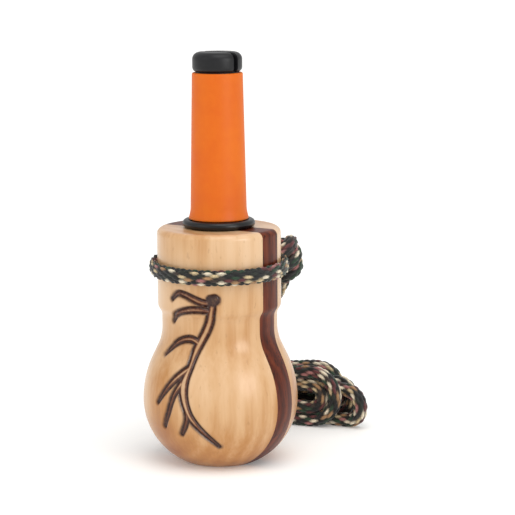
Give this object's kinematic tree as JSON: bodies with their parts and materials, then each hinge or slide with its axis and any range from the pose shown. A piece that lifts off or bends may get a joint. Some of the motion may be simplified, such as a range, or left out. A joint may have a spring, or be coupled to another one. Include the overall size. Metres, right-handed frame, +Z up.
{
  "type": "bite-down game call",
  "caption": "Turned wooden bell with a soft bite sleeve over a tone board and reed, a slotted mouthpiece tip, and a braided lanyard noosed round its neck.",
  "frame": {"origin": "middle of the bell's base, on the surface it stands on", "axes": "+Z up along the bell's axis to the mouthpiece; the dark centre slab lies in the XZ plane, and the carved front half faces -Y"},
  "size_m": [0.0762, 0.0999, 0.1363],
  "materials": {
    "maple": "clear gloss lacquer over pale turned maple",
    "walnut": "clear gloss lacquer over dark walnut",
    "sleeve_rubber": "satin moulded orange rubber",
    "seal_rubber": "satin black rubber",
    "black_plastic": "satin moulded black plastic",
    "reed_film": "thin polyester film",
    "lanyard_braid": "braided camouflage cord in black, green, brown and tan"
  },
  "bodies": {
    "barrel": {"maple_front_half": "maple", "maple_back_half": "maple", "walnut_strip_right": "walnut", "walnut_strip_left": "walnut"},
    "seals": {"stem_o_ring_lower": "seal_rubber", "stem_o_ring_upper": "seal_rubber"},
    "insert": {"insert_stem": "black_plastic", "seat_ring": "seal_rubber", "tone_board": "black_plastic", "reed_root": "reed_film", "reed_wedge": "black_plastic"},
    "reed": {"reed_tongue": "reed_film"},
    "sleeve": {"bite_sleeve": "sleeve_rubber"},
    "tip": {"mouthpiece_tip": "black_plastic"},
    "lanyard": {"lanyard_noose": "lanyard_braid", "lanyard_slip_knot": "lanyard_braid", "lanyard_strand_near": "lanyard_braid", "lanyard_strand_far": "lanyard_braid", "lanyard_hank": "lanyard_braid"}
  },
  "joints": [
    {"name": "insert_pull", "type": "slide", "parent": "barrel", "child": "seals", "axis": [0, 0, 1], "range_m": [0, 0.021]},
    {"name": "insert_twist", "type": "hinge", "parent": "seals", "child": "insert", "pos_m": [0, 0, 0.0787], "axis": [0, 0, 1], "continuous": true},
    {"name": "sleeve_pull", "type": "slide", "parent": "insert", "child": "sleeve", "axis": [0, 0, 1], "range_m": [0, 0.039]},
    {"name": "tip_pull", "type": "slide", "parent": "sleeve", "child": "tip", "axis": [0, 0, 1], "range_m": [0, 0.0088]},
    {"name": "reed_flex", "type": "hinge", "parent": "insert", "child": "reed", "pos_m": [0, 0.00038, 0.095], "axis": [1, 0, 0], "range_deg": [-2, 2.5], "stiffness_Nm_per_rad": 0.006},
    {"name": "noose_swivel", "type": "hinge", "parent": "barrel", "child": "lanyard", "pos_m": [0, 0, 0.0646], "axis": [0, 0, 1], "continuous": true}
  ]
}
